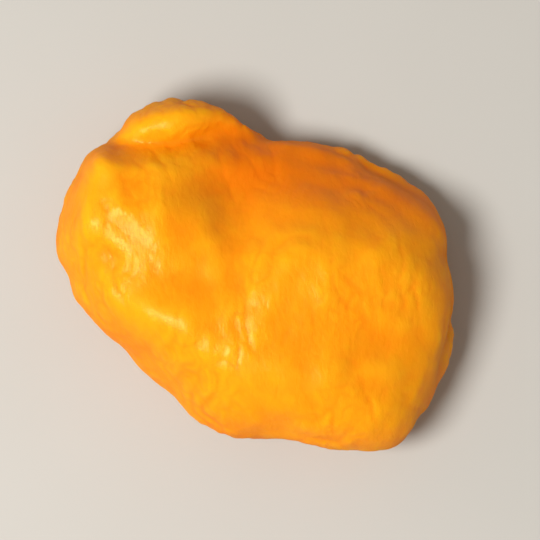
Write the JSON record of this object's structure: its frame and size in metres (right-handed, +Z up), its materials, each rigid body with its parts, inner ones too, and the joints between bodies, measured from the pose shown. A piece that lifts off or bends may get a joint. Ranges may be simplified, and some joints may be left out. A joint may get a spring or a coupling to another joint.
{
  "type": "dried apricot",
  "caption": "Soft whole dried apricot, stoned: a puffy, flattened, wrinkled orange fruit with a folded hollow along one side, lying on its flatter side.",
  "frame": {"origin": "on the surface that the fruit lies on, under the middle of its outline", "axes": "+X along the fruit from its stem end to its tip, +Y towards the side that folds in over the stone hollow, +Z up"},
  "size_m": [0.044, 0.0336, 0.0153],
  "materials": {
    "flesh": "satin"
  },
  "bodies": {
    "root": {"dried_apricot": "flesh"}
  },
  "joints": []
}
